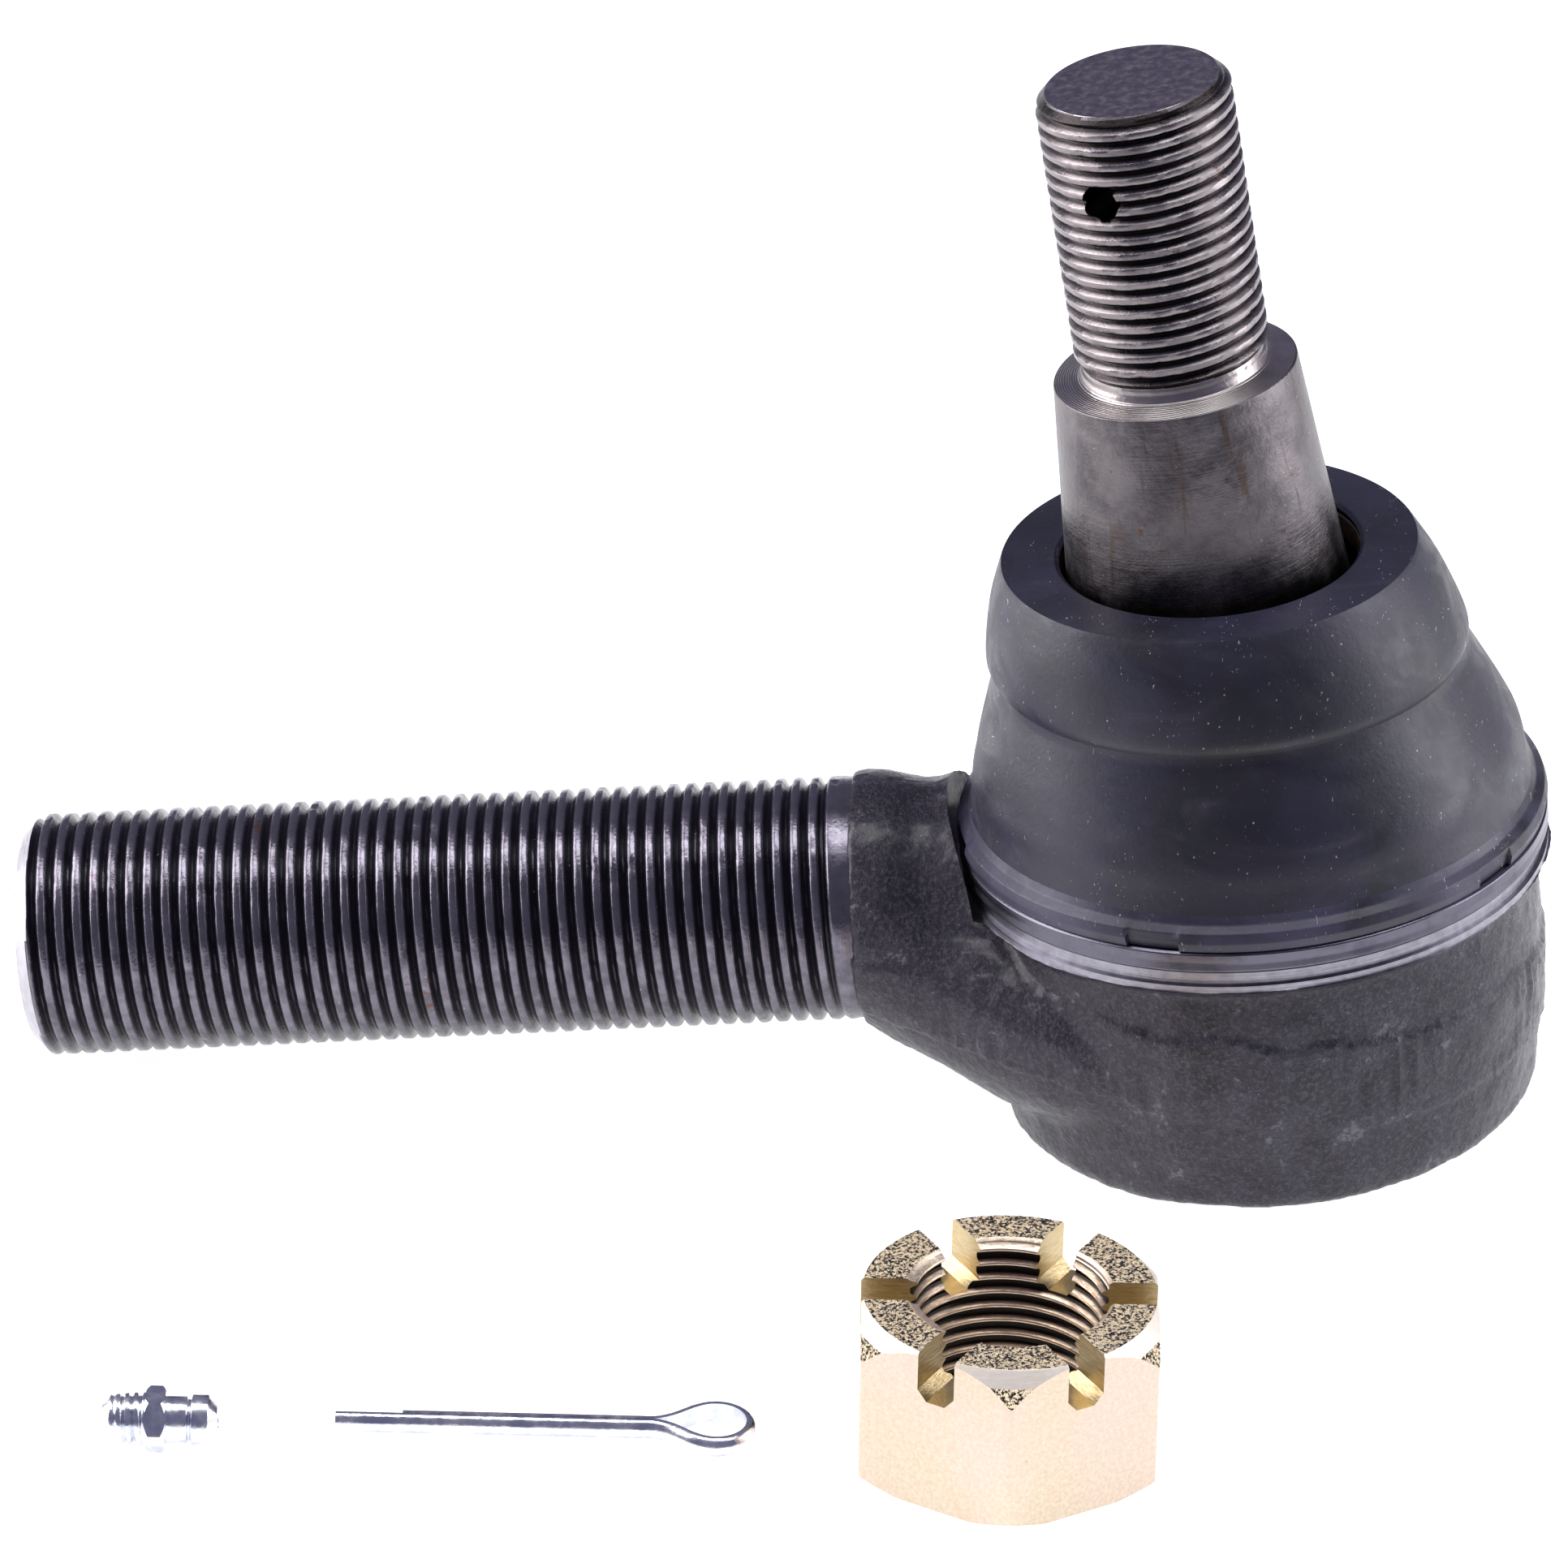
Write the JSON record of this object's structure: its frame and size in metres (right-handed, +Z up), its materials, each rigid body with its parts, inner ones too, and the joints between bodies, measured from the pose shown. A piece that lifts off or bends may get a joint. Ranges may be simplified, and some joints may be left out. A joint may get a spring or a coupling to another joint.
{
  "type": "tie rod end",
  "caption": "Ball-jointed tie rod end with a threaded shank, rubber boot and tapered stud, and its loose castle nut, cotter pin and grease fitting.",
  "frame": {"origin": "centre of the ball, the point that the stud swings about", "axes": "+Z up as the part lies on a bench, +X level, away from the shank. The part leans 6.2 degrees in the XZ plane, onto its shank's end, so the shank points along -X and a little down, and the housing axis points up and a little towards -X"},
  "size_m": [0.1799, 0.1311, 0.1318],
  "materials": {
    "forging": "rough black forging with a satin black thread",
    "bearing_steel": "ground",
    "spring_steel": "oiled",
    "cover_steel": "satin black",
    "ring_steel": "rolled, bright",
    "boot_rubber": "matte",
    "seal_rubber": "matte",
    "lip_steel": "dull",
    "stud_steel": "bare, ground",
    "yellow_zinc": "yellow zinc plate",
    "bright_zinc": "bright zinc plate"
  },
  "bodies": {
    "housing": {"socket_housing": "forging", "upper_bearing": "bearing_steel", "preload_spring": "spring_steel", "end_cover": "cover_steel", "cover_snap_ring": "spring_steel", "cover_seal_ring": "seal_rubber", "boot_base_ring": "ring_steel", "dust_boot": "boot_rubber"},
    "swing_seat": {"lower_bearing": "bearing_steel"},
    "boot_lip": {"boot_lip_ring": "lip_steel"},
    "stud": {"ball_stud": "stud_steel"},
    "nut": {"castle_nut": "yellow_zinc"},
    "pin": {"cotter_pin": "bright_zinc"},
    "fitting": {"grease_fitting": "bright_zinc", "fitting_check_spring": "spring_steel"},
    "check_ball": {"fitting_check_ball": "bearing_steel"}
  },
  "joints": [
    {"name": "swing_direction", "type": "hinge", "parent": "housing", "child": "swing_seat", "pos_m": [0, 0, 0], "axis": [-0.108, 0, 0.9942], "continuous": true},
    {"name": "stud_tilt", "type": "hinge", "parent": "swing_seat", "child": "boot_lip", "pos_m": [0, 0, 0], "axis": [0, 1, 0], "range_deg": [-16.1, 23.9], "deforming": ["dust_boot"]},
    {"name": "stud_spin", "type": "hinge", "parent": "boot_lip", "child": "stud", "pos_m": [0, 0, 0], "axis": [-0.1754, 0, 0.9845], "continuous": true},
    {"name": "nut_lift", "type": "slide", "parent": "housing", "child": "nut", "axis": [0, 0, 1], "range_m": [0, 0.03]},
    {"name": "pin_lift", "type": "slide", "parent": "housing", "child": "pin", "axis": [0, 0, 1], "range_m": [0, 0.03]},
    {"name": "fitting_lift", "type": "slide", "parent": "housing", "child": "fitting", "axis": [0, 0, 1], "range_m": [0, 0.03]},
    {"name": "check_ball_slide", "type": "slide", "parent": "fitting", "child": "check_ball", "axis": [-0.9986, -0.0523, 0], "range_m": [0, 0.0008], "stiffness_N_per_m": 200, "deforming": ["fitting_check_spring"]}
  ]
}
